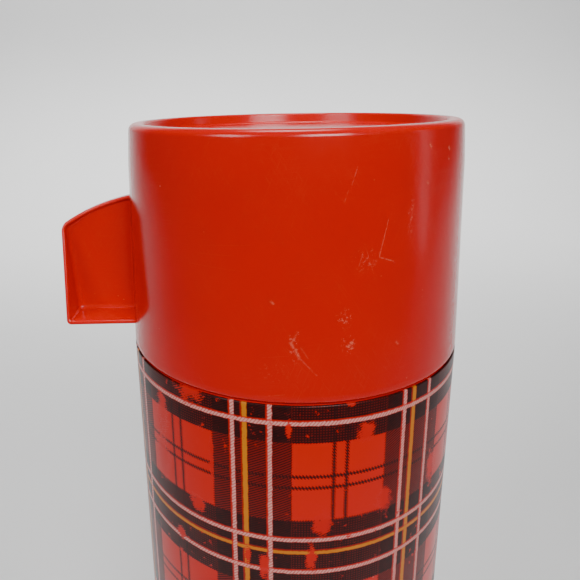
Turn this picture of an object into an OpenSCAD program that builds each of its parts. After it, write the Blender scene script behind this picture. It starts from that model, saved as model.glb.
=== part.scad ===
// Wide-mouth vacuum flask with a screw-on drinking cup, a steel jacket and a glass filler.
// Origin: centre of the base, on the table. +Z up, the cup's handle towards -X. Millimetres.

/* [Overall] */
// Height of the closed flask
total_h = 290; // [280:1:300]
// Outer diameter of the steel jacket
body_d = 104; // [103:0.5:106]
// Height of the plastic base below the jacket
base_h = 20; // [16:1:24]

/* [Drinking cup] */
// Height of the cup
cup_h = 67.5; // [66:0.5:70]
// How much the cup's radius shrinks from its mouth to its soft shoulder
cup_draft = 1.7; // [1:0.1:2.2]
// How much it shrinks further from there to its top edge
cup_turn_in = 0.8; // [0.4:0.1:1]
// Wall thickness of the cup
cup_wall = 2.6; // [2.4:0.1:2.8]
// Width of the raised rim round the cup's top
top_rim_w = 4; // [3.4:0.1:4.4]
// Depth of the panel inside that rim
top_recess = 3.5; // [2:0.1:4]

/* [Cup handle] */
// Distance from the flask's axis to the handle's outer face
handle_reach = 73.3; // [70:0.1:78]
// Height of the handle's underside above the cup's edge
handle_z = 6.2; // [5:0.1:8]
// Height of the handle's top above the cup's edge, at the wall
handle_top = 45.2; // [43:0.1:46]
// Thickness of the web in the handle's middle
web_t = 2.2; // [1.6:0.1:3]
// Thickness of the flange round the web
flange_t = 1.5; // [1.2:0.1:2]
// Width of the flange at the handle's foot
flange_w = 25; // [20:1:26]
// Width of the flange at the handle's top
flange_top_w = 3.8; // [3:0.1:5]

/* [Threads] */
// Rise of the cup's thread in one turn
cup_lead = 24; // [20:1:26]
// Rise of the stopper's thread in one turn
stopper_lead = 12; // [10:0.5:13]
// Gap between mating thread flanks
thread_gap = 0.35; // [0.3:0.05:0.45]

/* [Filler] */
// Outer radius of the glass filler
glass_r = 45; // [44:0.5:45.5]
// Radius of the filler's mouth
mouth_r = 33; // [32.5:0.5:33.5]

/* [Hidden] */

$fn = 96;
body_r = body_d / 2;
fit_gap = 0.15;          // clearance between pieces pressed together by hand
turn_gap = 0.4;          // clearance between pieces that turn in each other
thread_step = 8;         // angle between the sections of a thread
thread_start = 3.5;      // angle from +X to the first ridge of a thread

// Levels
cup_z = total_h - cup_h;
shoulder_z = cup_z - 0.4;
neck_top = shoulder_z + 21;
seat_z = neck_top - 14;
lip_t = 3;
rim_z = seat_z - lip_t - 2;

// Cup
cup_r = body_r - 0.1;
cup_soft_r = cup_r - cup_draft;
cup_soft_h = 11;         // height of the part that turns in above the soft shoulder
cup_top_r = cup_soft_r - cup_turn_in;
cup_bore = cup_r - cup_wall - 0.2;
cup_lip = 1.8;           // rounding of the cup's mouth
cup_edge = 3.2;          // rounding of its top edge
rim_round = 0.8;
ceiling_round = 4;
mouth_bevel_w = 0.8;
mouth_bevel_h = 1.2;
cup_floor = 2.4;
cup_ceiling = total_h - top_recess - cup_floor;
cup_inner_top_r = cup_top_r - cup_wall;
stop_rib_w = 2.2;
stop_rib_h = 2;
stop_rib_z = neck_top + 2;
seal_t = 1.7;
seal_w = 4.6;

// Handle: its outline is a top arc, an outer corner and a leaning outer face, in the plane of
// reach (X) and height above the cup's edge (Y)
handle_arc_r = 62;
handle_arc_start = 10.5; // slope of the top arc at the wall
handle_arc_end = 31;     // and at the outer corner
handle_corner_r = 3.5;
handle_corner_drop = 10.83;
handle_lean = 2.8;
handle_foot_r = 1.2;
handle_root = body_r - 2.4;
handle_arc_x = handle_root + 1.4;
handle_narrow_z = handle_top - 5.5;   // above this the flange keeps its least width
handle_arc_c = [
    handle_arc_x - handle_arc_r * sin(handle_arc_start),
    handle_top - handle_arc_r * cos(handle_arc_start)
];
handle_corner_c = [handle_reach - handle_corner_r, handle_top - handle_corner_drop];
handle_foot_x = handle_reach - (handle_corner_c[1] - handle_z) * tan(handle_lean);

// Cup thread: three short ridges outside the collar, three inside the cup
cup_starts = 3;
cup_arc = 128;
neck_r = cup_bore - 2.4;
neck_crest = cup_bore - turn_gap;
cup_crest = neck_r + turn_gap;
cup_ridge = 2.4;
cup_ridge_tip = 1.2;
cup_thread_z = shoulder_z + 5;
cup_thread_drop = (cup_ridge + cup_ridge_tip) / 2 + thread_gap;

// Stopper thread: two ridges inside the collar, two outside the stopper
stopper_starts = 2;
stopper_arc = 176;
collar_bore = mouth_r + 4.4;
stopper_r = collar_bore - 2.2;
stopper_crest = collar_bore - turn_gap;
collar_crest = stopper_r + turn_gap;
stopper_ridge = 2;
stopper_ridge_tip = 1;
stopper_thread_z = seat_z + 5.4;
stopper_thread_drop = (stopper_ridge + stopper_ridge_tip) / 2 + thread_gap;

// Stopper
plug_r = mouth_r - 2;
plug_wall = 2.2;
plug_bevel = 1.5;
plug_z = rim_z - 8;
gasket_t = 2;
shell_z = seat_z + gasket_t;
shell_top = neck_top + 0.3;
cap_h = 10;
cap_r = stopper_crest - 0.4;

// Jacket, collar and base
jacket_t = 0.5;
jacket_in = body_r - jacket_t;
spigot_r = jacket_in - fit_gap;
skirt_h = 16;
base_wall = 2.6;
base_floor = 5.5;
base_r = body_r - 0.1;
foot_w = 7;
foot_round = 2.5;
foot_recess = 2.5;
disc_r = 24;
disc_flange_t = 1.5;

// Filler: two glass walls with a vacuum between them, joined at the rim
outer_t = 1.4;
inner_t = 1.2;
vacuum = 2.4;
inner_out_r = glass_r - outer_t - vacuum;
inner_in_r = inner_out_r - inner_t;
neck_glass_out = mouth_r + 4;
neck_glass_in = neck_glass_out - outer_t;
dome_h = 24;
dome_top = 42;
shoulder_top = rim_z - 16;
shoulder_bottom = shoulder_top - 16;
glass_rim = 1.4;

// Points of an arc round c, from angle a0 to a1, counted from +X in the drawing plane
function arc(c, r, a0, a1, n) = [
    for (i = [0:n]) let (a = a0 + (a1 - a0) * i / n) [c[0] + r * cos(a), c[1] + r * sin(a)]
];

// Height of the filler's outer dome at radius r, and the points along a dome
function dome_z(r, a, b, top) = top - b * sqrt(max(0, 1 - (r / a) * (r / a)));
function dome(a, b, top, r0, n) = [
    for (i = [0:n]) let (t = asin(r0 / a) + (90 - asin(r0 / a)) * i / n) [a * sin(t), top - b * cos(t)]
];

// Points of the soft shoulder between a wide radius below and a narrow one above
function shoulder(r_low, r_high, z_low, z_high, n) = [
    for (i = [0:n]) let (t = i / n)
        [r_low + (r_high - r_low) * (1 - cos(180 * t)) / 2, z_low + (z_high - z_low) * t]
];

function reversed(list) = [for (i = [len(list) - 1:-1:0]) list[i]];

// One section of a thread ridge at angle a: base low, tip low, tip high, base high
function ridge_section(a, z, r_base, r_tip, w_base, w_tip) = [
    [r_base * cos(a), r_base * sin(a), z - w_base / 2],
    [r_tip * cos(a), r_tip * sin(a), z - w_tip / 2],
    [r_tip * cos(a), r_tip * sin(a), z + w_tip / 2],
    [r_base * cos(a), r_base * sin(a), z + w_base / 2]
];

// One ridge that climbs lead per turn over the angle span, with faded ends.
// r_base lies inside the wall that carries the ridge, and r_root is that wall's surface.
module ridge(r_base, r_root, r_tip, w_base, w_tip, lead, span, z0) {
    n = ceil(span / thread_step);
    faded = r_root + 0.2 * (r_tip - r_root);
    points = [
        for (k = [0:n])
            let (a = span * k / n, end = (k == 0 || k == n))
            each ridge_section(a, z0 + lead * a / 360, r_base, end ? faded : r_tip, w_base, w_tip)
    ];
    sides = [
        for (k = [0:n - 1])
            for (j = [0:3])
                let (p = 4 * k + j, q = 4 * k + (j + 1) % 4)
                each [[p, q, q + 4], [p, q + 4, p + 4]]
    ];
    caps = [[3, 2, 1, 0], [4 * n, 4 * n + 1, 4 * n + 2, 4 * n + 3]];
    faces = concat(sides, caps);
    polyhedron(points, r_tip > r_base ? faces : [for (f = faces) reversed(f)], convexity = 4);
}

module ridges(starts, r_base, r_root, r_tip, w_base, w_tip, lead, span, z0) {
    for (i = [0:starts - 1]) {
        rotate([0, 0, thread_start + 360 * i / starts])
            ridge(r_base, r_root, r_tip, w_base, w_tip, lead, span, z0);
    }
}

// Half section of the cup, upside down as it sits on the flask
module cup_section() {
    polygon(concat(
        arc([cup_r - cup_lip, cup_z + cup_lip], cup_lip, -90, 0, 6),
        [[cup_soft_r, total_h - cup_soft_h]],
        arc([cup_top_r - cup_edge, total_h - cup_edge], cup_edge, 0, 90, 6),
        arc([cup_top_r - top_rim_w + rim_round, total_h - rim_round], rim_round, 90, 180, 3),
        [
            [cup_top_r - top_rim_w, total_h - top_recess],
            [0, total_h - top_recess],
            [0, cup_ceiling]
        ],
        arc([cup_inner_top_r - ceiling_round, cup_ceiling - ceiling_round], ceiling_round, 90, 0, 5),
        [
            [cup_bore - 0.3, stop_rib_z + stop_rib_h],
            [cup_bore - stop_rib_w, stop_rib_z + stop_rib_h],
            [cup_bore - stop_rib_w, stop_rib_z],
            [cup_bore, stop_rib_z],
            [cup_bore, cup_z + mouth_bevel_h],
            [cup_bore + mouth_bevel_w, cup_z]
        ]
    ));
}

// Outline of the handle in its own plane, moved in by inset
module handle_outline(inset) {
    foot_r = max(handle_foot_r - inset, 0.4);
    polygon(concat(
        [[handle_root, handle_top - inset]],
        arc(handle_arc_c, handle_arc_r - inset, 90 - handle_arc_start, 90 - handle_arc_end, 4),
        arc(handle_corner_c, handle_corner_r - inset, 90 - handle_arc_end - 8, -handle_lean, 4),
        arc([handle_foot_x - inset - foot_r, handle_z + inset + foot_r], foot_r, -handle_lean, -90, 3),
        [[handle_root, handle_z + inset]]
    ));
}

// Side limits of the flange: narrow at the top and wide at the foot
module flange_wedge() {
    rotate([90, 0, 0])
        rotate([0, 90, 0])
            linear_extrude(height = handle_reach + 2)
                polygon([
                    [-flange_w / 2, handle_z - fit_gap],
                    [flange_w / 2, handle_z - fit_gap],
                    [flange_top_w / 2, handle_narrow_z],
                    [flange_top_w / 2, handle_top + fit_gap],
                    [-flange_top_w / 2, handle_top + fit_gap],
                    [-flange_top_w / 2, handle_narrow_z]
                ]);
}

module upright(width) {
    rotate([90, 0, 0])
        linear_extrude(height = width, center = true)
            children();
}

// Thumb-rest handle: a flat web inside a flange that widens towards the foot
module handle() {
    translate([0, 0, cup_z])
        rotate([0, 0, 180]) {
            upright(web_t) handle_outline(0.2);
            intersection() {
                upright(flange_w + 4) difference() {
                    handle_outline(0);
                    handle_outline(flange_t);
                    translate([handle_root - 1, handle_z + flange_t])
                        square([2, handle_top - handle_z - 2 * flange_t]);
                }
                flange_wedge();
            }
        }
}

module drinking_cup() {
    color([0.80, 0.06, 0.02]) {
        rotate_extrude()
            cup_section();
        handle();
        ridges(cup_starts, cup_bore + 0.5, cup_bore, cup_crest, cup_ridge, cup_ridge_tip,
            cup_lead, cup_arc, cup_thread_z - cup_thread_drop);
    }
}

module ring(r_out, r_in, z0, z1) {
    rotate_extrude()
        translate([r_in, z0])
            square([r_out - r_in, z1 - z0]);
}

module cup_seal() {
    color([0.86, 0.84, 0.78])
        ring(cup_bore - turn_gap, cup_bore - turn_gap - seal_w, neck_top, neck_top + seal_t);
}

module stopper_shell() {
    color([0.90, 0.88, 0.80]) {
        rotate_extrude()
            polygon([
                [0, plug_z],
                [plug_r - plug_bevel, plug_z],
                [plug_r, plug_z + plug_bevel],
                [plug_r, shell_z],
                [stopper_r, shell_z],
                [stopper_r, shell_top],
                [stopper_r - plug_wall, shell_top],
                [stopper_r - plug_wall, shell_z + plug_wall],
                [plug_r - plug_wall, shell_z + plug_wall],
                [plug_r - plug_wall, plug_z + plug_wall],
                [0, plug_z + plug_wall]
            ]);
        ridges(stopper_starts, stopper_r - 0.5, stopper_r, stopper_crest, stopper_ridge,
            stopper_ridge_tip, stopper_lead, stopper_arc, stopper_thread_z - stopper_thread_drop);
    }
}

// Top of the stopper: a ribbed disc with a bar across its recess to turn it by
module stopper_cap() {
    rib_count = 24;
    rib_w = 2;
    rib_depth = 0.8;
    bevel = 1.5;
    well_r = cap_r - 6;
    well_h = 6.5;
    bar_w = 9;
    bar_drop = 1;
    core_r = cap_r - rib_depth;
    color([0.90, 0.88, 0.80]) {
        difference() {
            rotate_extrude()
                polygon([
                    [0, shell_top],
                    [core_r, shell_top],
                    [core_r, shell_top + cap_h - bevel],
                    [core_r - bevel, shell_top + cap_h],
                    [0, shell_top + cap_h]
                ]);
            difference() {
                translate([0, 0, shell_top + cap_h - well_h])
                    cylinder(r1 = well_r - 1, r2 = well_r, h = well_h + 1);
                translate([-cap_r, -bar_w / 2, shell_top])
                    cube([2 * cap_r, bar_w, cap_h - bar_drop]);
            }
        }
        for (i = [0:rib_count - 1]) {
            rotate([0, 0, 360 * (i + 0.5) / rib_count])
                translate([core_r - rib_depth, -rib_w / 2, shell_top + 1])
                    cube([2 * rib_depth, rib_w, cap_h - 1 - bevel - 1]);
        }
    }
}

module stopper_foam() {
    low_r = plug_r - plug_wall - fit_gap;
    high_r = stopper_r - plug_wall - fit_gap;
    color([0.96, 0.95, 0.90])
        rotate_extrude()
            polygon([
                [0, plug_z + plug_wall],
                [low_r, plug_z + plug_wall],
                [low_r, shell_z + plug_wall],
                [high_r, shell_z + plug_wall],
                [high_r, shell_top],
                [0, shell_top]
            ]);
}

module stopper_gasket() {
    color([0.20, 0.20, 0.19])
        ring(stopper_r, plug_r + turn_gap, seat_z, seat_z + gasket_t);
}

// Threaded ring that closes the jacket, holds the filler down and carries both threads
module collar() {
    wall = 2.2;
    bevel = 1;
    lip_r = mouth_r + 0.4;
    color([0.78, 0.08, 0.04]) {
        rotate_extrude()
            polygon([
                [spigot_r, shoulder_z - skirt_h],
                [spigot_r, shoulder_z],
                [neck_r, shoulder_z],
                [neck_r, neck_top - bevel],
                [neck_r - bevel, neck_top],
                [collar_bore + bevel, neck_top],
                [collar_bore, neck_top - bevel],
                [collar_bore, seat_z],
                [lip_r, seat_z],
                [lip_r, seat_z - lip_t],
                [collar_bore + wall, seat_z - lip_t],
                [collar_bore + wall, neck_top - wall],
                [neck_r - wall, neck_top - wall],
                [neck_r - wall, shoulder_z - wall],
                [spigot_r - wall, shoulder_z - wall],
                [spigot_r - wall, shoulder_z - skirt_h]
            ]);
        ridges(cup_starts, neck_r - 0.5, neck_r, neck_crest, cup_ridge, cup_ridge_tip,
            cup_lead, cup_arc, cup_thread_z);
        ridges(stopper_starts, collar_bore + 0.5, collar_bore, collar_crest, stopper_ridge,
            stopper_ridge_tip, stopper_lead, stopper_arc, stopper_thread_z);
    }
}

// Rubber ring that sits over the filler's rim, under the collar
module neck_seal() {
    seal_wall = 2;
    skirt = 5;
    seal_in = mouth_r + 0.6;
    skirt_in = neck_glass_out + 0.2;
    color([0.20, 0.20, 0.19])
        rotate_extrude()
            polygon([
                [seal_in, rim_z],
                [skirt_in, rim_z],
                [skirt_in, rim_z - skirt],
                [skirt_in + seal_wall, rim_z - skirt],
                [skirt_in + seal_wall, seat_z - lip_t],
                [seal_in, seat_z - lip_t]
            ]);
}

module jacket() {
    color([0.62, 0.08, 0.05])
        ring(body_r, jacket_in, base_h, shoulder_z);
}

// Inner wall of the filler, with the rounded rim that joins it to the outer one
module glass_inner() {
    floor_z = dome_top - dome_h + outer_t + vacuum;
    bead = glass_rim / 2;
    color([0.80, 0.83, 0.84, 0.6])
        rotate_extrude()
            polygon(concat(
                dome(inner_out_r, dome_top - floor_z, dome_top, 0, 10),
                shoulder(inner_out_r, mouth_r + inner_t, shoulder_bottom, shoulder_top, 8),
                [
                    [mouth_r + inner_t, rim_z - glass_rim],
                    [neck_glass_out, rim_z - glass_rim]
                ],
                arc([neck_glass_out - bead, rim_z - bead], bead, 0, 90, 3),
                arc([mouth_r + bead, rim_z - bead], bead, 90, 180, 3),
                reversed(shoulder(inner_in_r, mouth_r, shoulder_bottom, shoulder_top, 8)),
                reversed(dome(inner_in_r, dome_top - floor_z - inner_t, dome_top, 0, 10))
            ));
}

// Outer wall of the filler, with the sealed tip where the air was drawn out
module glass_outer() {
    tip_r = 3.6;
    tip_z = 10;
    color([0.80, 0.83, 0.84, 0.6])
        rotate_extrude()
            polygon(concat(
                [[0, tip_z], [1, tip_z + 0.4], [2.2, tip_z + 4.5]],
                dome(glass_r, dome_h, dome_top, tip_r, 10),
                shoulder(glass_r, neck_glass_out, shoulder_bottom, shoulder_top, 8),
                [[neck_glass_out, rim_z - glass_rim], [neck_glass_in, rim_z - glass_rim]],
                reversed(shoulder(glass_r - outer_t, neck_glass_in, shoulder_bottom, shoulder_top, 8)),
                reversed(dome(glass_r - outer_t, dome_h - outer_t, dome_top, 0, 10))
            ));
}

// Heat-proof pad that keeps the two glass walls apart
module glass_spacer(i) {
    pad = 11;
    pad_z = 70;
    gap = 0.1;
    color([0.78, 0.77, 0.72])
        intersection() {
            ring(glass_r - outer_t - gap, inner_out_r + gap, pad_z - pad / 2, pad_z + pad / 2);
            rotate([0, 0, 120 * i + 30])
                translate([inner_out_r - pad / 2, -pad / 2, pad_z - pad])
                    cube([pad, pad, 2 * pad]);
        }
}

module glass_spacer_1() {
    glass_spacer(0);
}

module glass_spacer_2() {
    glass_spacer(1);
}

module glass_spacer_3() {
    glass_spacer(2);
}

// Foam ring that centres the filler under the collar
module upper_cushion() {
    cushion_h = 12;
    low = shoulder_bottom - cushion_h / 2;
    color([0.85, 0.80, 0.62])
        ring(spigot_r, glass_r + 0.2, low, low + cushion_h);
}

// Zigzag outline round the radius r_mid
module zigzag(r_mid, wave_h, waves) {
    polygon([
        for (i = [0:2 * waves - 1])
            let (r = r_mid + (i % 2 == 0 ? wave_h : -wave_h))
            [r * cos(180 * i / waves), r * sin(180 * i / waves)]
    ]);
}

// Corrugated paper wrapped round the filler
module paper_sleeve() {
    waves = 36;
    wave_r = glass_r + 3;
    wave_h = 1.1;
    paper_t = 0.8;
    sleeve_h = shoulder_bottom - 8 - dome_top;
    color([0.66, 0.50, 0.32])
        translate([0, 0, dome_top])
            linear_extrude(height = sleeve_h)
                difference() {
                    zigzag(wave_r + paper_t / 2, wave_h, waves);
                    zigzag(wave_r - paper_t / 2, wave_h, waves);
                }
}

// Rubber cushion that carries the filler's dome
module bottom_cushion() {
    r_in = disc_r + 3;
    r_out = base_r - base_wall - 0.6;
    r_top = glass_r - 0.4;
    top = dome_top - 3;
    gap = 0.3;
    steps = 8;
    color([0.24, 0.23, 0.22])
        rotate_extrude()
            polygon(concat(
                [[r_in, base_floor], [r_out, base_floor], [r_out, top], [glass_r + gap, top]],
                [
                    for (i = [0:steps])
                        let (r = r_top - (r_top - r_in) * i / steps)
                        [r, dome_z(r, glass_r, dome_h, dome_top) - gap]
                ]
            ));
}

// Rubber sleeve round the filler's tip
module tip_protector() {
    low = base_floor + disc_flange_t;
    color([0.24, 0.23, 0.22])
        ring(9, 4.4, low, low + 7.5);
}

// Moulded base: a cup with a foot ring below and a spigot inside the jacket
module base_cup() {
    spigot_h = 13;
    bevel = 1;
    foot_r = base_r - foot_round;
    hole_r = disc_r + fit_gap;
    color([0.78, 0.06, 0.03])
        rotate_extrude()
            polygon(concat(
                [[foot_r - foot_w, 0]],
                arc([foot_r, foot_round], foot_round, -90, 0, 5),
                [
                    [base_r, base_h],
                    [spigot_r, base_h],
                    [spigot_r, base_h + spigot_h - bevel],
                    [spigot_r - bevel, base_h + spigot_h],
                    [base_r - base_wall, base_h + spigot_h],
                    [base_r - base_wall, base_floor],
                    [hole_r, base_floor],
                    [hole_r, foot_recess],
                    [foot_r - foot_w, foot_recess]
                ]
            ));
}

// Round plug that closes the base below the filler's tip
module base_disc() {
    bevel = 1;
    boss_r = disc_r - 2;
    flange_r = disc_r + 2;
    color([0.72, 0.06, 0.03])
        rotate_extrude()
            polygon([
                [0, 0],
                [boss_r - bevel, 0],
                [boss_r, bevel],
                [boss_r, foot_recess],
                [disc_r, foot_recess],
                [disc_r, base_floor],
                [flange_r, base_floor],
                [flange_r, base_floor + disc_flange_t],
                [0, base_floor + disc_flange_t]
            ]);
}

drinking_cup();
cup_seal();
stopper_shell();
stopper_cap();
stopper_foam();
stopper_gasket();
collar();
neck_seal();
jacket();
glass_inner();
glass_outer();
glass_spacer_1();
glass_spacer_2();
glass_spacer_3();
upper_cushion();
paper_sleeve();
bottom_cushion();
tip_protector();
base_cup();
base_disc();
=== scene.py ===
"""Looks for the wide-mouth vacuum flask: printed steel jacket, red moulded cup with a thumb-rest handle."""
import math

import bmesh
import bpy
from mathutils import Matrix, Vector


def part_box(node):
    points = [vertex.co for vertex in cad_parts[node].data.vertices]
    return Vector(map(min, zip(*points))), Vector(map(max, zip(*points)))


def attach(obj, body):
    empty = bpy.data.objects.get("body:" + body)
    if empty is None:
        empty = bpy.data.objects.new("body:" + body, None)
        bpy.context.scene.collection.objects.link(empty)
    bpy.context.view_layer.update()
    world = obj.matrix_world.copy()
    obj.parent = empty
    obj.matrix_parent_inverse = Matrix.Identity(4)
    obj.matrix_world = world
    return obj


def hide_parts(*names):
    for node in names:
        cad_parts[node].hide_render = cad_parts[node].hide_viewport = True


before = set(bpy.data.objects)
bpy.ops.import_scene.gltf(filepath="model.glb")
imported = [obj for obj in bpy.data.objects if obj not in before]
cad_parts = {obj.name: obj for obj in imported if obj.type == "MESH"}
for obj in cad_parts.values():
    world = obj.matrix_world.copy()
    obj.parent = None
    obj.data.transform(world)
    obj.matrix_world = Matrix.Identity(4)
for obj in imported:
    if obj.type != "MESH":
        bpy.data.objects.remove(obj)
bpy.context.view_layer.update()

MM = 0.001
TURN = 2 * math.pi
AROUND = 192                      # sections round a turned piece


# ---------------------------------------------------------------- sizes, from the frame

cup_low, cup_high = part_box("drinking_cup")
jacket_low, jacket_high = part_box("jacket")
collar_low, collar_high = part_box("collar")
shell_low, shell_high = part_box("stopper_shell")
BASE_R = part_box("base_cup")[1].y
BASE_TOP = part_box("base_cup")[1].z
SEAL_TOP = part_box("cup_seal")[1].z

CUP_R = cup_high.y                # radius at the cup's mouth, which points down
CUP_DRAFT = 1.7 * MM              # taper from the mouth to the soft shoulder near the top
CUP_TURN_IN = 0.8 * MM            # from there to the top
CUP_MOUTH_T = 2.8 * MM            # wall where the thread is
CUP_SOFT_R = CUP_R - CUP_DRAFT
CUP_TOP_R = CUP_SOFT_R - CUP_TURN_IN
CUP_BORE = CUP_R - CUP_MOUTH_T
CUP_Z = cup_low.z
TOP_Z = cup_high.z
JACKET_R = jacket_high.y
JACKET_FOOT = jacket_low.z
SHOULDER_Z = jacket_high.z
NECK_TOP = collar_high.z


# ---------------------------------------------------------------- camera

def look_from(place, pitch, roll, lens, shift):
    """A camera at place that faces +Y, tipped down by pitch and rolled, both in radians."""
    forward = Vector((0, math.cos(pitch), -math.sin(pitch)))
    right = Vector((1, 0, 0))
    up = right.cross(forward)
    side = right * math.cos(roll) + up * math.sin(roll)
    top = up * math.cos(roll) - right * math.sin(roll)
    data = bpy.data.cameras.new("camera")
    data.lens = lens
    data.sensor_width = 36
    data.shift_x, data.shift_y = shift
    camera = bpy.data.objects.new("camera", data)
    camera.matrix_world = Matrix.Translation(place) @ Matrix((side, top, -forward)).transposed().to_4x4()
    bpy.context.scene.collection.objects.link(camera)
    bpy.context.scene.camera = camera


look_from(
    place=Vector((-0.01576, -0.17653, CUP_Z + 0.07543)),
    pitch=math.radians(15.79),
    roll=math.radians(-1.18),
    lens=34.89,
    shift=(0.080, -0.066),
)


# ---------------------------------------------------------------- mesh building

def mesh_object(name, points, faces, sharp=35):
    """A smooth-shaded mesh whose edges stay sharp where its faces turn by more than sharp degrees."""
    mesh = bpy.data.meshes.new(name)
    mesh.from_pydata([tuple(p) for p in points], [], faces)
    mesh.validate()
    mesh.shade_smooth()
    mesh.set_sharp_from_angle(angle=math.radians(sharp))
    obj = bpy.data.objects.new(name, mesh)
    bpy.context.scene.collection.objects.link(obj)
    return obj


def join(name, parts):
    """One object from several."""
    bpy.ops.object.select_all(action="DESELECT")
    for part in parts:
        part.select_set(True)
    bpy.context.view_layer.objects.active = parts[0]
    bpy.ops.object.join()
    parts[0].name = name
    parts[0].data.name = name
    return parts[0]


def rounded(corners, steps=5):
    """A closed outline from (x, y, fillet radius) corners, with an arc at each rounded one."""
    out = []
    count = len(corners)
    for i, (x, y, radius) in enumerate(corners):
        here = Vector((x, y))
        if radius <= 0:
            out.append(here)
            continue
        before = Vector(corners[i - 1][:2]) - here
        after = Vector(corners[(i + 1) % count][:2]) - here
        angle = before.angle(after)
        reach = min(radius / math.tan(angle / 2), before.length * 0.49, after.length * 0.49)
        radius = reach * math.tan(angle / 2)
        start = here + before.normalized() * reach
        end = here + after.normalized() * reach
        middle = here + (before.normalized() + after.normalized()).normalized() * radius / math.sin(angle / 2)
        sweep = math.pi - angle
        turn = 1 if (start - middle).cross(end - middle) > 0 else -1
        for k in range(steps + 1):
            a = turn * sweep * k / steps
            arm = start - middle
            out.append(middle + Vector((arm.x * math.cos(a) - arm.y * math.sin(a),
                                        arm.x * math.sin(a) + arm.y * math.cos(a))))
    return out


def lathe(name, outline, around=AROUND, swell=None, sharp=35):
    """A piece turned about the Z axis from a closed outline of (radius, height) points.

    Points on the axis become one vertex. swell(angle, radius, height) adds to the radius.
    """
    points, rings, faces = [], [], []
    for r, z in outline:
        if r < 1e-7:
            rings.append([len(points)] * around)
            points.append((0, 0, z))
            continue
        first = len(points)
        for i in range(around):
            a = TURN * i / around
            rr = r + (swell(a, r, z) if swell else 0)
            points.append((rr * math.cos(a), rr * math.sin(a), z))
        rings.append(list(range(first, first + around)))
    count = len(rings)
    for k in range(count):
        low, high = rings[k], rings[(k + 1) % count]
        if low[0] == low[1] and high[0] == high[1]:
            continue
        for i in range(around):
            j = (i + 1) % around
            face = [low[i], low[j], high[j], high[i]]
            faces.append([v for n, v in enumerate(face) if v not in face[:n]])
    obj = mesh_object(name, points, faces, sharp)
    face_outward(obj)
    return obj


def face_outward(obj):
    """Turns all faces of a closed mesh to face out."""
    work = bmesh.new()
    work.from_mesh(obj.data)
    bmesh.ops.recalc_face_normals(work, faces=work.faces)
    work.to_mesh(obj.data)
    work.free()


THREAD_START = 3.5                # angle from +X to the first ridge of a thread
THREAD_STEP = 3                   # degrees between a ridge's sections
THREAD_FADE = 12                  # degrees over which each end fades out
CUP_THREAD = {"base_w": 2.4 * MM, "tip_w": 1.2 * MM, "lead": 24 * MM, "span": 128}
STOPPER_THREAD = {"base_w": 2.0 * MM, "tip_w": 1.0 * MM, "lead": 12 * MM, "span": 176}


def ridge(name, root, tip, base_w, tip_w, lead, start, span, z0):
    """A screw thread's ridge from radius root to tip, rising by lead a turn, with ends that fade out."""
    sections = int(span / THREAD_STEP)
    across = 6
    sink = math.copysign(0.5 * MM, root - tip)
    points, faces = [], []
    for k in range(sections + 1):
        turn = span * k / sections
        a = math.radians(start + turn)
        fade = min(1, min(turn, span - turn) / THREAD_FADE + 0.05)
        height = (tip - root) * math.sqrt(fade)
        z = z0 + lead * turn / 360
        loop = [(root + sink, -base_w / 2)]
        for i in range(across + 1):
            t = i / across * math.pi
            loop.append((root + height * (0.55 + 0.45 * math.sin(t)), -tip_w / 2 * 1.25 * math.cos(t)))
        loop.append((root + sink, base_w / 2))
        for r, dz in loop:
            points.append((r * math.cos(a), r * math.sin(a), z + dz))
    size = across + 3
    for k in range(sections):
        for i in range(size):
            j = (i + 1) % size
            faces.append([k * size + i, k * size + j, (k + 1) * size + j, (k + 1) * size + i])
    faces.append(list(range(size)))
    faces.append(list(range(sections * size, (sections + 1) * size)))
    obj = mesh_object(name, points, faces)
    face_outward(obj)
    return obj


def threads(name, starts, **sizes):
    """A thread's ridges, one for each start."""
    return [ridge("%s_%d" % (name, i), start=THREAD_START + 360 * i / starts, **sizes) for i in range(starts)]


# ---------------------------------------------------------------- materials

class Wire:
    """A number flowing through a material's nodes, so that formulas read like ordinary sums."""

    def __init__(self, tree, socket):
        self.tree = tree
        self.socket = socket

    def math(self, operation, *others):
        node = self.tree.nodes.new("ShaderNodeMath")
        node.operation = operation
        for slot, value in zip(node.inputs, (self,) + others):
            feed(self.tree, slot, value)
        return Wire(self.tree, node.outputs[0])

    def __add__(self, other):
        return self.math("ADD", other)

    def __sub__(self, other):
        return self.math("SUBTRACT", other)

    def __mul__(self, other):
        return self.math("MULTIPLY", other)

    def __truediv__(self, other):
        return self.math("DIVIDE", other)

    def __rsub__(self, other):
        return (self * -1) + other

    def abs(self):
        return self.math("ABSOLUTE")

    def mod(self, period):
        return self.math("FLOORED_MODULO", period)

    def least(self, other):
        return self.math("MINIMUM", other)

    def most(self, other):
        return self.math("MAXIMUM", other)

    def over(self, edge, soft):
        """0 below edge, 1 above it, with a ramp of width soft between."""
        return ((self - edge) / soft + 0.5).clamp()

    def within(self, low, high, soft):
        return self.over(low, soft) * (1 - self.over(high, soft))

    def line(self, centre, width, soft):
        """1 on a line of that width round centre."""
        return 1 - (self - centre).abs().over(width / 2, soft)

    def clamp(self):
        node = self.tree.nodes.new("ShaderNodeClamp")
        feed(self.tree, node.inputs[0], self)
        return Wire(self.tree, node.outputs[0])


def feed(tree, slot, value):
    """Connects a wire or a socket to a slot, or sets the slot to a plain value."""
    if isinstance(value, Wire):
        tree.links.new(value.socket, slot)
    elif isinstance(value, bpy.types.NodeSocket):
        tree.links.new(value, slot)
    else:
        slot.default_value = value


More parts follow.
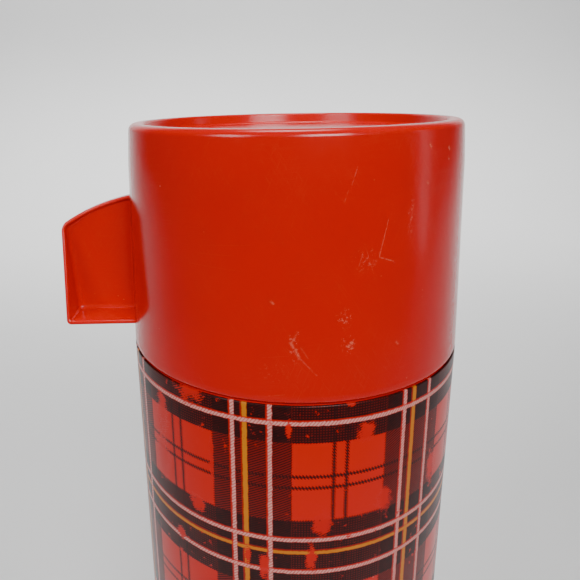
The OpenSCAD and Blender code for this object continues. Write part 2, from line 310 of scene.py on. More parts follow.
class Paint:
    """A material under construction, with short names for the nodes it uses."""

    def __init__(self, name, **shader):
        self.material = bpy.data.materials.new(name)
        self.material.use_nodes = True
        self.tree = self.material.node_tree
        self.shader = self.tree.nodes["Principled BSDF"]
        for key, value in shader.items():
            self.shader.inputs[key.replace("_", " ")].default_value = value
        self.place = self.tree.nodes.new("ShaderNodeTexCoord").outputs["Object"]
        split = self.tree.nodes.new("ShaderNodeSeparateXYZ")
        self.tree.links.new(self.place, split.inputs[0])
        self.x, self.y, self.z = (Wire(self.tree, out) for out in split.outputs)

    def point(self, x, y, z):
        node = self.tree.nodes.new("ShaderNodeCombineXYZ")
        for slot, value in zip(node.inputs, (x, y, z)):
            feed(self.tree, slot, value)
        return node.outputs[0]

    def noise(self, scale, detail=3, roughness=0.55, where=None):
        node = self.tree.nodes.new("ShaderNodeTexNoise")
        self.tree.links.new(where or self.place, node.inputs["Vector"])
        node.inputs["Scale"].default_value = scale
        node.inputs["Detail"].default_value = detail
        node.inputs["Roughness"].default_value = roughness
        return Wire(self.tree, node.outputs["Fac"])

    def cells(self, scale):
        """Distance to the nearest of many scattered points."""
        node = self.tree.nodes.new("ShaderNodeTexVoronoi")
        self.tree.links.new(self.place, node.inputs["Vector"])
        node.inputs["Scale"].default_value = scale
        return Wire(self.tree, node.outputs["Distance"])

    def mix(self, amount, a, b):
        """Colour a where amount is 0 and colour b where it is 1."""
        node = self.tree.nodes.new("ShaderNodeMix")
        node.data_type = "RGBA"
        feed(self.tree, node.inputs[0], amount)
        for slot, value in ((node.inputs[6], a), (node.inputs[7], b)):
            feed(self.tree, slot, value if isinstance(value, bpy.types.NodeSocket) else (*value, 1))
        return node.outputs[2]

    def bump(self, height, strength, distance):
        node = self.tree.nodes.new("ShaderNodeBump")
        node.inputs["Strength"].default_value = strength
        node.inputs["Distance"].default_value = distance
        feed(self.tree, node.inputs["Height"], height)
        feed(self.tree, self.shader.inputs["Normal"], node.outputs[0])

    def colour(self, value):
        feed(self.tree, self.shader.inputs["Base Color"], value)

    def rough(self, value):
        feed(self.tree, self.shader.inputs["Roughness"], value)

    def around(self, seam, radius):
        """Distance round the piece from the seam, an angle in degrees, and height, both in millimetres."""
        angle = self.y.math("ARCTAN2", self.x)
        turned = (angle - math.radians(seam)).mod(TURN)
        reach = (self.x * self.x + self.y * self.y).math("SQRT")
        return turned * (radius * 1000) + ((reach - radius) * 1000).most(0), self.z * 1000


def scratch(u, v, start, end, width):
    """1 on a straight scratch between two points of the surface, given in millimetres."""
    (u0, v0), (u1, v1) = start, end
    length = math.hypot(u1 - u0, v1 - v0)
    du, dv = (u1 - u0) / length, (v1 - v0) / length
    along = (u - u0) * du + (v - v0) * dv
    off = ((u - u0) * -dv + (v - v0) * du).abs()
    past = (along - length / 2).abs() - length / 2
    return 1 - off.most(past).over(width / 2, width)


def scuff(u, v, centre, half_u, half_v):
    """1 inside an ellipse of the surface, given in millimetres, fading towards its edge."""
    du = (u - centre[0]) / half_u
    dv = (v - centre[1]) / half_v
    return (1 - (du * du + dv * dv).math("SQRT")).clamp()


def fine_scratches(paint, u, v, tilt, spacing, seed):
    """Sparse hair scratches that run along one slanted direction."""
    slant = math.radians(tilt)
    along = u * math.cos(slant) + v * math.sin(slant)
    across = u * -math.sin(slant) + v * math.cos(slant)
    where = paint.point(along * 0.05 + seed, across / spacing, seed)
    lines = paint.noise(1.0, detail=2, roughness=0.7, where=where)
    patches = paint.noise(0.06, detail=2, where=paint.point(u, v, seed * 2.0))
    return lines.line(0.5, 0.012, 0.012) * patches.over(0.52, 0.12)


CUP_BACK = 90                     # angle where distances round the cup start


def red_plastic(name, deep, bright, marks=(), scuffs=(), wear_below=None):
    """Glossy moulded plastic: slow colour drift, hair scratches, named scratches and a few pale specks."""
    paint = Paint(name, IOR=1.5, Specular_IOR_Level=0.4)
    u, v = paint.around(CUP_BACK, CUP_R)
    drift = paint.noise(28, detail=3)
    clouds = paint.noise(160, detail=4, roughness=0.7)
    hair = fine_scratches(paint, u, v, tilt=4, spacing=0.55, seed=1.7)
    hair = hair.most(fine_scratches(paint, u, v, tilt=68, spacing=0.8, seed=5.2))
    hair = hair.most(fine_scratches(paint, u, v, tilt=-55, spacing=0.9, seed=9.4))
    cut = hair * 0.10
    broken = paint.noise(1400, detail=3, roughness=0.7).over(0.46, 0.16)
    for start, end, width, depth in marks:
        cut = cut.most(scratch(u, v, start, end, width) * (broken * depth * 0.75))
    chips = paint.noise(1100, detail=4, roughness=0.75)
    for centre, half_u, half_v, depth in scuffs:
        patch = scuff(u, v, centre, half_u, half_v)
        cut = cut.most(chips.over(0.60, 0.10) * (patch * 2).least(1) * depth)
    specks = 1 - paint.cells(420).over(0.10, 0.05)
    rare = paint.noise(75, detail=2).over(0.68, 0.04)
    cut = cut.most(specks * rare * 0.45)
    body = paint.mix(drift, deep, bright)
    pale = paint.mix(cut * 0.65, body, (0.82, 0.22, 0.10))
    if wear_below is not None:
        worn = paint.noise(420, detail=4, roughness=0.75).over(0.52, 0.1)
        worn = worn * (1 - (paint.z * 1000).over(wear_below, 3.0))
        pale = paint.mix(worn * 0.55, pale, (0.62, 0.20, 0.14))
    paint.colour(pale)
    paint.rough((clouds * 0.10 + 0.13) + cut * 0.25)
    paint.bump(drift * 0.5 + clouds * 0.10 - cut * 0.35, 0.25, 0.0004)
    return paint.material


# Tartan, in millimetres. Across the jacket the sett repeats without a whole number of repeats,
# so the print doesn't meet itself at the seam. Down it, the sett counts from the cup's edge.
SEAM = 100.0                      # angle of the jacket's lap seam, in degrees from +X
REPEAT_U, REPEAT_V = 47.5, 46.3
CHECK_U, CHECK_V = 25.7, 23.8     # the red check
FIRST_CHECK_AZ = -95.0            # angle of one check's edge
FIRST_CHECK_DROP = 10.9           # that check's top edge below the cup's edge
HATCH = 0.75                      # pitch of the printed twill

# Middles of the sett's lines, counted like the check's edges: two thin dark, two white, one yellow each way
THIN_U, THIN_V = (11.1, 14.6), (10.2, 13.6)
WHITE_U, WHITE_V = (31.8, 41.9), (30.2, 40.8)
YELLOW_U, YELLOW_V = 35.2, 34.3

BASE_RED = (0.62, 0.008, 0.001)
INK_BLACK = (0.005, 0.001, 0.001)
INK_WHITE = (0.74, 0.36, 0.32)
INK_YELLOW = (0.60, 0.19, 0.004)

# Places where the print has rubbed off: angle, drop below the cup, half width, half height
WORN = (
    (-127.5, -0.5, 4.2, 4.2), (-140.5, 12.0, 2.6, 5.5), (-141.5, 27.0, 3.4, 6.5), (-73.0, 9.0, 2.2, 2.6),
    (-65.8, 32.0, 2.0, 3.6), (-85.8, 36.2, 2.6, 3.0), (-89.0, 47.5, 1.4, 4.2), (-95.8, 7.0, 0.8, 3.2),
    (-103.2, 50.5, 1.3, 4.0), (-125.2, 36.0, 2.4, 2.4), (-133.8, 50.5, 1.6, 2.0), (-119.5, 21.0, 0.6, 7.0),
    (-78.0, 0.2, 1.3, 1.0), (-44.0, 30.0, 2.2, 5.0), (-108.4, 47.5, 1.0, 3.0),
)


def tartan():
    """Tartan printed on red base coat under varnish, with twill hatching and rubbed patches."""
    paint = Paint("tartan_steel", IOR=1.5, Specular_IOR_Level=0.2,
                  Coat_Weight=0.35, Coat_Roughness=0.10, Coat_IOR=1.45)
    u, z = paint.around(SEAM, JACKET_R)
    drop = z * -1 + CUP_Z * 1000
    jitter = (paint.noise(700, detail=2) - 0.5) * 0.35
    offset = (math.radians(FIRST_CHECK_AZ - SEAM) % TURN) * JACKET_R * 1000
    p = (u + jitter - offset).mod(REPEAT_U)
    q = (drop + jitter - FIRST_CHECK_DROP).mod(REPEAT_V)

    # the checks' edges are toothed like the cloth's weave
    tooth_p = ((drop / HATCH).mod(1.0) - 0.5) * 0.6
    tooth_q = ((u / HATCH).mod(1.0) - 0.5) * 0.6
    warp_red = (p + tooth_p).within(0, CHECK_U, 0.15)
    weft_red = (q + tooth_q).within(0, CHECK_V, 0.15)
    # hatching where a dark band crosses a red one: slanted lines down the sheet, dots across it
    slanted = ((u * 0.5 + drop) / HATCH).mod(1.0).within(0.0, 0.54, 0.2)
    row = (drop / HATCH + (u / (2 * HATCH)).math("FLOOR")).mod(1.0)
    dots = (u / HATCH).mod(1.0).within(0.18, 0.82, 0.2) * row
    dotted = 1 - dots.over(0.62, 0.25)
    faint = paint.noise(500, detail=3, roughness=0.7).over(0.5, 0.4) * 0.16
    ink = (1 - warp_red) * (1 - weft_red) * (slanted * 0.04 + 0.96)
    ink = ink.most((1 - warp_red) * weft_red * (slanted * 0.32 + 0.66))
    ink = ink.most(warp_red * (1 - weft_red) * (dotted * 0.24 + 0.75)) - faint * 0.25
    # pair of thin toothed lines through the middle of each check
    teeth = ((u - drop) / 0.9).mod(1.0).over(0.5, 0.5) * 0.5 - 0.25
    for across, pair in ((p, THIN_U), (q, THIN_V)):
        for at in pair:
            ink = ink.most((across + teeth).line(at, 0.8, 0.25) * 0.95)

    frayed = (paint.noise(1300, detail=3, roughness=0.7) - 0.5) * 0.7

    def cord_line(across, along, at, width):
        """A printed line that looks like a two-ply thread, with a thin red edge beside it."""
        ply = ((along + across * 0.8) / 0.95).mod(1.0).within(0.0, 0.66, 0.3) * 0.65 + 0.35
        return (across + frayed).line(at, width, 0.18) * ply, across.line(at - 0.2, width + 0.6, 0.25)

    colour = paint.mix(ink, BASE_RED, INK_BLACK)
    for across, at, width in ((p, YELLOW_U, 1.3), (q, YELLOW_V, 1.0)):
        colour = paint.mix(across.line(at - 0.2, width + 0.6, 0.25) * 0.55, colour, BASE_RED)
        colour = paint.mix((across + frayed * 0.6).line(at, width, 0.2), colour, INK_YELLOW)
    for across, along, pair in ((p, drop, WHITE_U), (q, u, WHITE_V)):
        for at in pair:
            stroke, edge = cord_line(across, along, at, 1.08)
            colour = paint.mix(edge * 0.8, colour, BASE_RED)
            colour = paint.mix(stroke * 0.93, colour, INK_WHITE)

    # rubbed patches, their edges broken up by noise
    ragged = (paint.noise(300, detail=8, roughness=0.85) - 0.5) * 4.2 + (slanted - 0.5) * 0.3
    rubbed = paint.noise(46, detail=8, roughness=0.75).over(0.68, 0.02)
    for angle, below, half_u, half_v in WORN:
        at = (math.radians(angle - SEAM) % TURN) * JACKET_R * 1000
        du = (u - at) / half_u
        dv = (drop - below) / half_v
        rubbed = rubbed.most(1 - ((du * du + dv * dv).math("SQRT") + ragged).over(1.0, 0.12))
    chips = paint.noise(330, detail=6, roughness=0.75).over(0.63, 0.03)
    rubbed = rubbed.most(chips * paint.noise(50, detail=2).over(0.5, 0.05))
    under = paint.mix(paint.noise(120, detail=4), (0.66, 0.010, 0.001), (0.56, 0.004, 0.001))
    colour = paint.mix(rubbed * 0.96, colour, under)
    nick = (1 - paint.cells(190).over(0.05, 0.02)) * paint.noise(40, detail=2).over(0.66, 0.03)
    colour = paint.mix(nick, colour, (0.55, 0.50, 0.46))
    paint.colour(colour)
    paint.rough(paint.noise(240, detail=3) * 0.12 + 0.26 + ink * 0.10)
    relief = ink * 0.10 - rubbed * 0.25 - nick * 0.4 + paint.noise(30, detail=2) * 0.7
    paint.bump(relief, 0.35, 0.00025)
    return paint.material


def ivory_plastic():
    paint = Paint("ivory_plastic", IOR=1.49)
    stain = paint.noise(60, detail=4, roughness=0.65)
    fine = paint.noise(900, detail=2)
    paint.colour(paint.mix(stain, (0.80, 0.75, 0.62), (0.70, 0.62, 0.46)))
    paint.rough(stain * 0.15 + 0.25)
    paint.bump(fine * 0.3 + stain, 0.15, 0.0003)
    return paint.material


def rubber(name, dark, light):
    paint = Paint(name, IOR=1.45)
    bloom = paint.noise(90, detail=5, roughness=0.7)
    grain = paint.noise(1800, detail=2)
    paint.colour(paint.mix(bloom.over(0.45, 0.4), dark, light))
    paint.rough(bloom * 0.2 + 0.55)
    paint.bump(grain, 0.3, 0.0002)
    return paint.material


def foam():
    paint = Paint("insulating_foam", IOR=1.4, Roughness=0.9)
    bubbles = paint.cells(1100)
    paint.colour(paint.mix(bubbles, (0.62, 0.57, 0.42), (0.84, 0.80, 0.66)))
    paint.rough(bubbles * 0.1 + 0.8)
    paint.bump(bubbles, 0.6, 0.0004)
    return paint.material


def silvered_glass():
    """Glass with a mirror coat on its far side, slightly warm and clouded."""
    paint = Paint("silvered_glass", Metallic=1.0, Coat_Weight=1.0, Coat_Roughness=0.02, Coat_IOR=1.52)
    cloud = paint.noise(45, detail=4, roughness=0.6)
    fleck = (1 - paint.cells(180).over(0.10, 0.05)) * paint.noise(30, detail=1).over(0.58, 0.05)
    tarnish = cloud.over(0.45, 0.35) * 0.6 + fleck * 0.4
    paint.colour(paint.mix(tarnish, (0.86, 0.87, 0.87), (0.66, 0.60, 0.50)))
    paint.rough(cloud * 0.08 + 0.04)
    paint.bump(cloud, 0.10, 0.0004)
    return paint.material


def spacer_pad():
    paint = Paint("heat_proof_pad", IOR=1.4)
    fibre = paint.noise(1500, detail=3, roughness=0.8)
    paint.colour(paint.mix(fibre, (0.50, 0.48, 0.42), (0.78, 0.76, 0.70)))
    paint.rough(fibre * 0.1 + 0.85)
    paint.bump(fibre, 0.5, 0.0003)
    return paint.material


def brown_card():
    paint = Paint("brown_card", IOR=1.4)
    fibre = paint.noise(500, detail=5, roughness=0.75, where=paint.point(paint.x, paint.y, paint.z * 0.2))
    paint.colour(paint.mix(fibre, (0.30, 0.19, 0.10), (0.52, 0.37, 0.22)))
    paint.rough(fibre * 0.1 + 0.82)
    paint.bump(fibre, 0.4, 0.0003)
    return paint.material


# Scratches on the cup, where they show best: from, to, width and strength.
# Places are an angle in degrees from +X and a height above the cup's edge in millimetres.
CUP_MARKS = (
    ((-94.0, 18.5), (-95.2, 16.6), 0.5, 0.6), ((-95.2, 16.6), (-93.0, 12.8), 0.6, 0.9),
    ((-93.0, 12.8), (-88.2, 8.0), 0.3, 0.5), ((-92.6, 15.4), (-90.6, 12.6), 0.3, 0.4),
    ((-68.4, 45.8), (-71.0, 37.0), 0.22, 0.8), ((-71.0, 37.0), (-66.4, 35.6), 0.25, 0.9),
    ((-77.9, 58.7), (-79.4, 54.8), 0.20, 0.6), ((-80.4, 53.4), (-81.3, 51.0), 0.20, 0.5),
    ((-59.7, 49.0), (-61.4, 42.0), 0.25, 0.35), ((-118.4, 40.0), (-106.4, 40.8), 0.14, 0.22),
    ((-125.5, 34.7), (-109.3, 34.3), 0.14, 0.22), ((-122.0, 37.6), (-111.0, 37.9), 0.14, 0.2),
    ((-75.4, 40.6), (-72.6, 33.2), 0.16, 0.35), ((-75.8, 38.6), (-77.0, 35.4), 0.2, 0.5),
    ((-103.0, 12.5), (-96.5, 13.2), 0.14, 0.2), ((-101.5, 2.2), (-97.0, 2.8), 0.18, 0.4),
    ((-64.4, 14.2), (-63.8, 13.6), 0.5, 0.7), ((-100.6, 27.1), (-100.0, 26.6), 0.5, 0.9),
    ((-53.5, 62.6), (-53.1, 62.2), 0.6, 0.9), ((-43.4, 61.3), (-43.0, 60.9), 0.6, 0.9),
    ((-54.6, 53.8), (-54.2, 53.4), 0.5, 0.6), ((-43.8, 58.8), (-43.4, 58.4), 0.5, 0.7),
    ((70.0, 52.0), (84.0, 38.0), 0.2, 0.4), ((115.0, 30.0), (128.0, 34.0), 0.2, 0.4),
    ((30.0, 44.0), (38.0, 20.0), 0.2, 0.3), ((-20.0, 30.0), (-12.0, 46.0), 0.2, 0.4),
)
# Scuffed patches: angle, height, half width, half height and strength
CUP_SCUFFS = (
    (-94.0, 16.0, 2.4, 5.5, 0.8), (-79.5, 16.0, 2.2, 3.6, 0.9), (-80.8, 22.5, 2.6, 3.6, 0.8),
    (-60.5, 46.0, 1.6, 6.0, 0.5), (-75.0, 37.0, 4.5, 4.0, 0.45), (-100.0, 9.0, 5.0, 4.0, 0.25),
    (60.0, 20.0, 4.0, 5.0, 0.5), (-10.0, 12.0, 5.0, 4.0, 0.4),
)


def on_cup(angle, height):
    """A place on the cup as distances round it and up from the table, in millimetres."""
    return (math.radians(angle - CUP_BACK) % TURN) * CUP_R * 1000, CUP_Z * 1000 + height


CUP_RED = red_plastic("red_cup_plastic", (0.56, 0.0015, 0.0003), (0.66, 0.0030, 0.0005),
                      marks=[(on_cup(*a), on_cup(*b), w, depth) for a, b, w, depth in CUP_MARKS],
                      scuffs=[(on_cup(*s[:2]), *s[2:]) for s in CUP_SCUFFS])
TRIM_RED = red_plastic("red_collar_plastic", (0.50, 0.0020, 0.0005), (0.62, 0.0040, 0.0008))
BASE_PLASTIC = red_plastic("red_base_plastic", (0.50, 0.0020, 0.0005), (0.62, 0.0040, 0.0008), wear_below=4.0)
TARTAN = tartan()
IVORY = ivory_plastic()
BLACK_RUBBER = rubber("black_rubber", (0.012, 0.012, 0.012), (0.045, 0.044, 0.042))
PALE_RUBBER = rubber("pale_rubber", (0.60, 0.57, 0.48), (0.72, 0.70, 0.62))
FOAM = foam()
GLASS = silvered_glass()
PAD = spacer_pad()
CARD = brown_card()


def finish_piece(obj, material, body, slot, *nodes):
    """Gives a new piece its material and its body, and hides the CAD nodes it stands for."""
    obj.data.materials.clear()
    obj.data.materials.append(material)
    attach(obj, body)
    if nodes:
        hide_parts(*nodes)
    return obj


# ---------------------------------------------------------------- drinking cup

RIM_W = 4.0 * MM
RECESS = 3.5 * MM
CUP_FLOOR = 2.4 * MM
CUP_WALL = 2.6 * MM


def cup_shell():
    """The cup's wall, its recessed top with a raised rim, and the stop rib inside."""
    ceiling = TOP_Z - RECESS - CUP_FLOOR
    stop = SEAL_TOP + 0.3 * MM
    inner_top = CUP_TOP_R - CUP_WALL
    return lathe("cup_shell", rounded([
        (0, TOP_Z - RECESS, 0),
        (CUP_TOP_R - RIM_W - 0.5 * MM, TOP_Z - RECESS, 1.0 * MM),
        (CUP_TOP_R - RIM_W, TOP_Z, 1.0 * MM),
        (CUP_TOP_R, TOP_Z, 3.2 * MM),
        (CUP_SOFT_R, TOP_Z - 11 * MM, 60 * MM),
        (CUP_R - 0.05 * MM, CUP_Z + 3.4 * MM, 0.8 * MM),
        (CUP_R, CUP_Z + 2.2 * MM, 0.6 * MM),
        (CUP_R, CUP_Z, 1.7 * MM),
        (CUP_BORE + 0.4 * MM, CUP_Z, 0.4 * MM),
        (CUP_BORE, CUP_Z + 1.2 * MM, 0.4 * MM),
        (CUP_BORE, stop, 0.2 * MM),
        (CUP_BORE - 2.2 * MM, stop, 0.5 * MM),
        (CUP_BORE - 2.2 * MM, stop + 2 * MM, 0.7 * MM),
        (CUP_BORE - 0.3 * MM, stop + 2.2 * MM, 0.7 * MM),
        (inner_top, ceiling, 5 * MM),
        (0, ceiling, 0),
    ], steps=7), around=256, sharp=60)


HANDLE_REACH = -cup_low.x         # the handle points to -X
HANDLE_FOOT = 6.2 * MM
HANDLE_TOP = 45.2 * MM
HANDLE_NARROW = 39.7 * MM         # the flange widens below this height
HANDLE_FOOT_HALF = 12.5 * MM
HANDLE_TOP_HALF = 1.9 * MM
WEB_HALF = 1.0 * MM
FLANGE_T = 1.2 * MM
HANDLE_FILLET = 1.5 * MM
WALL_X = CUP_R - 2.2 * MM         # inside the cup's wall
WEB_FROM_WALL = 4.2 * MM          # from there to where the web's flat part starts


def handle_loop(inset, wall_inset):
    """The handle's outline seen from the side, moved inwards.

    It runs over the top arc, round the outer corner and the foot, and back up the wall's side.
    """
    arc_r, corner_r, foot_r = 62 * MM, 3.5 * MM, 1.4 * MM
    arc_start, arc_end, lean = 10.5, 31, 2.8
    soft = 0.4 * (MM + wall_inset)
    wall_x = WALL_X + wall_inset
    centre = Vector((WALL_X + 1.2 * MM - arc_r * math.sin(math.radians(arc_start)),
                     HANDLE_TOP - arc_r * math.cos(math.radians(arc_start))))
    corner = Vector((HANDLE_REACH - corner_r, HANDLE_TOP - 10.83 * MM))

    def arc(c, r, a0, a1, n):
        """Points round c, at bearings from straight up towards the outer face."""
        bearings = [math.radians(a0 + (a1 - a0) * i / n) for i in range(n + 1)]
        return [Vector((c.x + r * math.sin(a), c.y + r * math.cos(a))) for a in bearings]

    first = math.degrees(math.asin((wall_x + soft - centre.x) / (arc_r - inset)))
    top = arc(centre, arc_r - inset, first, arc_end, 14)
    turn = arc(corner, max(corner_r - inset, 0.8 * MM), arc_end + 6, 90 + lean, 8)
    foot_x = HANDLE_REACH - (corner.y - HANDLE_FOOT) * math.tan(math.radians(lean)) - inset
    small = max(foot_r - inset * 0.3, 0.6 * MM)
    foot = arc(Vector((foot_x - small, HANDLE_FOOT + inset + small)), small, 90 + lean, 180, 5)
    low = arc(Vector((wall_x + soft, HANDLE_FOOT + inset + soft)), soft, 180, 270, 4)
    high = arc(Vector((wall_x + soft, top[0].y - soft)), soft, 270, 360, 4)[:-1]
    out = top + turn
    out += [turn[-1].lerp(foot[0], t / 10) for t in range(1, 10)]
    out += foot
    out += [foot[-1].lerp(low[0], t / 8) for t in range(1, 8)]
    out += low
    out += [low[-1].lerp(high[0], t / 12) for t in range(1, 12)]
    out += high
    return out


def half_width(z):
    """Half the flange's width at a height above the cup's edge: narrow at the top, wide at the foot."""
    t = (HANDLE_NARROW - z) / (HANDLE_NARROW - HANDLE_FOOT)
    return HANDLE_TOP_HALF + (HANDLE_FOOT_HALF - HANDLE_TOP_HALF) * min(max(t, 0), 1)


def handle_rings():
    """Closed rings of (outward, up, sideways) points, from the web's flat part to the flange's outer face."""
    outer = handle_loop(0, 0)
    inner = handle_loop(FLANGE_T, 0)
    web = handle_loop(FLANGE_T + HANDLE_FILLET, WEB_FROM_WALL)
    edge = FLANGE_T / 2
    rings = []
    for k in range(8):
        t = math.radians(90 * k / 7)
        ring = []
        for a, b in zip(inner, web):
            room = min(HANDLE_FILLET, half_width(a.y) - edge - WEB_HALF)
            p = a.lerp(b, (1 - math.sin(t)) * room / HANDLE_FILLET)
            ring.append((p.x, p.y, WEB_HALF + room * (1 - math.cos(t))))
        rings.append(ring)
    for k in range(7):
        t = math.radians(180 * k / 6)
        ring = []
        for a, b in zip(inner, outer):
            p = a.lerp(b, (1 - math.cos(t)) / 2)
            ring.append((p.x, p.y, half_width(p.y) - edge + edge * math.sin(t)))
        rings.append(ring)
    return rings


def cup_handle():
    """Thumb-rest handle: a web in the middle, inside a flange that widens towards the foot."""
    rings = handle_rings()
    count, size = len(rings), len(rings[0])
    points = [(-x, side * y, CUP_Z + z) for side in (1, -1) for ring in rings for x, z, y in ring]
    loops = [list(range(k * size, (k + 1) * size)) for k in range(2 * count)]
    faces = [loops[0], loops[count]]
    pairs = [(k, k + 1) for k in range(count - 1)] + [(count + k, count + k + 1) for k in range(count - 1)]
    pairs.append((count - 1, 2 * count - 1))
    for a, b in pairs:
        for i in range(size):
            j = (i + 1) % size
            faces.append([loops[a][i], loops[a][j], loops[b][j], loops[b][i]])
    obj = mesh_object("cup_handle", points, faces, sharp=50)
    face_outward(obj)
    return obj


cup = join("drinking_cup_moulding", [cup_shell(), cup_handle()] + threads(
    "cup_thread", 3, root=CUP_BORE, tip=CUP_BORE - 2.0 * MM, z0=SHOULDER_Z + 2.85 * MM, **CUP_THREAD))
finish_piece(cup, CUP_RED, "cup", "cup_plastic", "drinking_cup")


# ---------------------------------------------------------------- jacket and base

LAP_W = 4.5 * MM                  # overlap of the jacket's sheet
LAP_FADE = 2.5 * MM               # part of it that runs out to nothing
LAP_T = 0.28 * MM


def seam_swell(angle, radius, height):
    """The lap where the jacket's sheet overlaps itself, the same at every radius and height."""
    away = (angle - math.radians(SEAM) + math.pi) % TURN - math.pi
    arc = away * JACKET_R
    if 0 <= arc <= LAP_W:
        return LAP_T * min(1, (LAP_W - arc) / LAP_FADE)
    return 0.0


def jacket_shell():
    """Steel tube with its edges turned in at the top and the foot."""
    t = 0.5 * MM
    outline = rounded([
        (JACKET_R, JACKET_FOOT, 0.3 * MM),
        (JACKET_R, SHOULDER_Z, 0.4 * MM),
        (JACKET_R - t - 0.05 * MM, SHOULDER_Z, 0.05 * MM),
        (JACKET_R - t, JACKET_FOOT, 0.05 * MM),
    ], steps=4)
    return lathe("jacket_shell", outline, around=720, swell=seam_swell, sharp=40)


finish_piece(jacket_shell(), TARTAN, "flask", "tartan_steel", "jacket")


def base_moulding():
    """Moulded base with a rounded foot ring, a shadow line under the jacket and a spigot inside it."""
    spigot_r = JACKET_R - 0.65 * MM
    floor = 5.5 * MM
    disc = 24.15 * MM
    return lathe("base_moulding", rounded([
        (BASE_R - 9.5 * MM, 0, 0.6 * MM),
        (BASE_R, 0, 2.4 * MM),
        (BASE_R, JACKET_FOOT - 1.4 * MM, 0.3 * MM),
        (BASE_R - 0.5 * MM, JACKET_FOOT - 1.1 * MM, 0.2 * MM),
        (BASE_R - 0.5 * MM, JACKET_FOOT - 0.02 * MM, 0.1 * MM),
        (spigot_r, JACKET_FOOT - 0.02 * MM, 0.1 * MM),
        (spigot_r, BASE_TOP, 0.8 * MM),
        (BASE_R - 2.6 * MM, BASE_TOP, 0.3 * MM),
        (BASE_R - 2.6 * MM, floor, 1.0 * MM),
        (disc, floor, 0.2 * MM),
        (disc, 2.5 * MM, 0.3 * MM),
        (BASE_R - 9.5 * MM, 2.5 * MM, 0.5 * MM),
    ], steps=6), around=256)


finish_piece(base_moulding(), BASE_PLASTIC, "flask", "base_plastic", "base_cup")


# ---------------------------------------------------------------- collar and stopper

MOUTH_R = 33 * MM
COLLAR_BORE = MOUTH_R + 4.4 * MM
NECK_R = CUP_BORE - 2.4 * MM
SEAT_Z = NECK_TOP - 14 * MM
STOPPER_R = COLLAR_BORE - 2.2 * MM


def collar_ring():
    """Threaded ring that closes the jacket, with a rolled lip at its top and the stopper's seat inside."""
    wall = 2.2 * MM
    skirt_r = JACKET_R - 0.65 * MM
    foot = collar_low.z
    return lathe("collar_ring", rounded([
        (skirt_r, foot, 0.4 * MM),
        (skirt_r, SHOULDER_Z, 0.5 * MM),
        (NECK_R, SHOULDER_Z, 0.8 * MM),
        (NECK_R, NECK_TOP, 1.0 * MM),
        (COLLAR_BORE, NECK_TOP, 1.0 * MM),
        (COLLAR_BORE, SEAT_Z, 0.6 * MM),
        (MOUTH_R + 0.4 * MM, SEAT_Z, 0.5 * MM),
        (MOUTH_R + 0.4 * MM, SEAT_Z - 3 * MM, 0.4 * MM),
        (COLLAR_BORE + wall, SEAT_Z - 3 * MM, 0.4 * MM),
        (COLLAR_BORE + wall, NECK_TOP - wall, 0.5 * MM),
        (NECK_R - wall, NECK_TOP - wall, 0.5 * MM),
        (NECK_R - wall, SHOULDER_Z - wall, 0.5 * MM),
        (skirt_r - wall, SHOULDER_Z - wall, 0.5 * MM),
        (skirt_r - wall, foot, 0.4 * MM),
    ], steps=4))


outer_thread = threads(
    "neck_thread", 3, root=NECK_R, tip=NECK_R + 2.0 * MM, z0=SHOULDER_Z + 5 * MM, **CUP_THREAD)
inner_thread = threads(
    "seat_thread", 2, root=COLLAR_BORE, tip=COLLAR_BORE - 1.8 * MM, z0=SEAT_Z + 5.4 * MM, **STOPPER_THREAD)
collar = join("collar_moulding", [collar_ring()] + outer_thread + inner_thread)
finish_piece(collar, TRIM_RED, "flask", "collar_plastic", "collar")


def stopper_plug():
    """Hollow threaded plug."""
    plug_r = MOUTH_R - 2 * MM
    wall = 2.2 * MM
    low, high = shell_low.z, shell_high.z
    step = SEAT_Z + 2 * MM
    return lathe("stopper_plug", rounded([
        (0, low, 0),
        (plug_r, low, 1.6 * MM),
        (plug_r, step, 0.3 * MM),
        (STOPPER_R, step, 0.4 * MM),
        (STOPPER_R, high, 0.4 * MM),
        (STOPPER_R - wall, high, 0.4 * MM),
        (STOPPER_R - wall, step + wall, 0.4 * MM),
        (plug_r - wall, step + wall, 0.4 * MM),
        (plug_r - wall, low + wall, 0.6 * MM),
        (0, low + wall, 0),
    ], steps=4))


plug = join("stopper_moulding", [stopper_plug()] + threads(
    "stopper_thread", 2, root=STOPPER_R, tip=COLLAR_BORE - 0.4 * MM, z0=SEAT_Z + 3.55 * MM, **STOPPER_THREAD))
finish_piece(plug, IVORY, "stopper", "stopper_plastic", "stopper_shell")


# ---------------------------------------------------------------- CAD nodes that keep their shape

def dress(material, *nodes):
    """Gives CAD nodes a material, and leaves their shape as it is."""
    for name in nodes:
        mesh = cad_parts[name].data
        for i in range(max(1, len(mesh.materials))):
            if mesh.materials:
                mesh.materials[i] = material
            else:
                mesh.materials.append(material)


dress(BASE_PLASTIC, "base_disc")
dress(IVORY, "stopper_cap")
dress(PALE_RUBBER, "cup_seal")
dress(BLACK_RUBBER, "stopper_gasket", "neck_seal", "bottom_cushion", "tip_protector")
dress(FOAM, "stopper_foam", "upper_cushion")
dress(GLASS, "glass_inner", "glass_outer")
dress(PAD, "glass_spacer_1", "glass_spacer_2", "glass_spacer_3")
dress(CARD, "paper_sleeve")


# ---------------------------------------------------------------- floor, backdrop and light

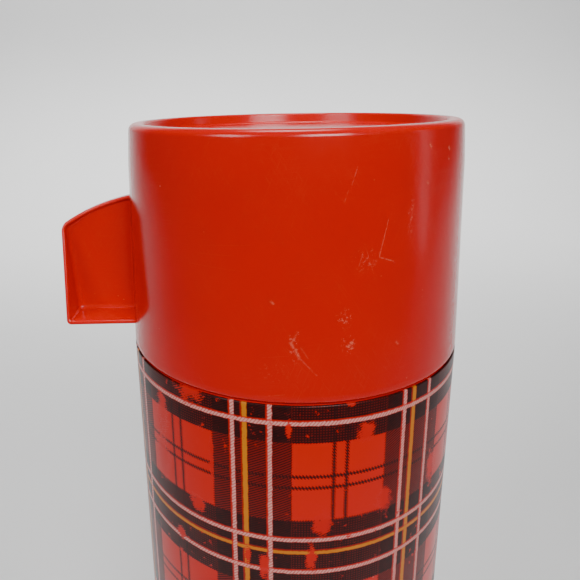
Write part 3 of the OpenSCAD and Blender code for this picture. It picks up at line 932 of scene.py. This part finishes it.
def floor_and_backdrop():
    """A plain pale floor that curves up into a backdrop."""
    paint = Paint("pale_floor", Roughness=0.6)
    paint.colour(paint.mix(paint.noise(3, detail=3), (0.70, 0.70, 0.70), (0.76, 0.76, 0.755)))
    width, front, back, bend, top = 3.0, -2.2, 0.9, 0.5, 2.4
    path = [(front, 0)]
    for k in range(13):
        a = math.radians(90 * k / 12)
        path.append((back + bend * math.sin(a), bend * (1 - math.cos(a))))
    path.append((back + bend, top))
    points, faces = [], []
    for y, z in path:
        points += [(-width, y, z), (width, y, z)]
    for k in range(len(path) - 1):
        faces.append([2 * k, 2 * k + 1, 2 * k + 3, 2 * k + 2])
    floor = mesh_object("floor", points, faces, sharp=80)
    floor.data.materials.append(paint.material)


def area_light(name, place, target, size, power, spread=180):
    """A rectangular light at place that faces target, with its beam spread degrees wide."""
    data = bpy.data.lights.new(name, "AREA")
    data.shape = "RECTANGLE"
    data.size, data.size_y = size
    data.energy = power
    data.spread = math.radians(spread)
    light = bpy.data.objects.new(name, data)
    light.location = place
    light.rotation_euler = (Vector(target) - Vector(place)).to_track_quat("-Z", "Y").to_euler()
    bpy.context.scene.collection.objects.link(light)


def surroundings(strength):
    """Even, slightly cool light from all round."""
    world = bpy.data.worlds.new("studio")
    world.use_nodes = True
    background = world.node_tree.nodes["Background"]
    background.inputs["Color"].default_value = (0.95, 0.97, 1.0, 1)
    background.inputs["Strength"].default_value = strength
    bpy.context.scene.world = world


floor_and_backdrop()
surroundings(0.09)
cup_middle = (0, 0, CUP_Z + 0.03)
area_light("key", (0.30, -0.95, 0.85), cup_middle, (0.6, 0.4), 0.92, spread=44)
area_light("fill", (-0.75, -0.70, 0.85), cup_middle, (0.5, 0.4), 0.40, spread=44)
area_light("top", (0.0, 0.12, 1.3), cup_middle, (0.6, 0.5), 0.55, spread=40)
area_light("window", (0.95, -0.1, 0.35), (0, 0, 0.28), (0.14, 0.6), 0.3)
area_light("backdrop", (0, 0.6, 2.0), (0, 1.25, 0.25), (2.4, 0.4), 27, spread=84)
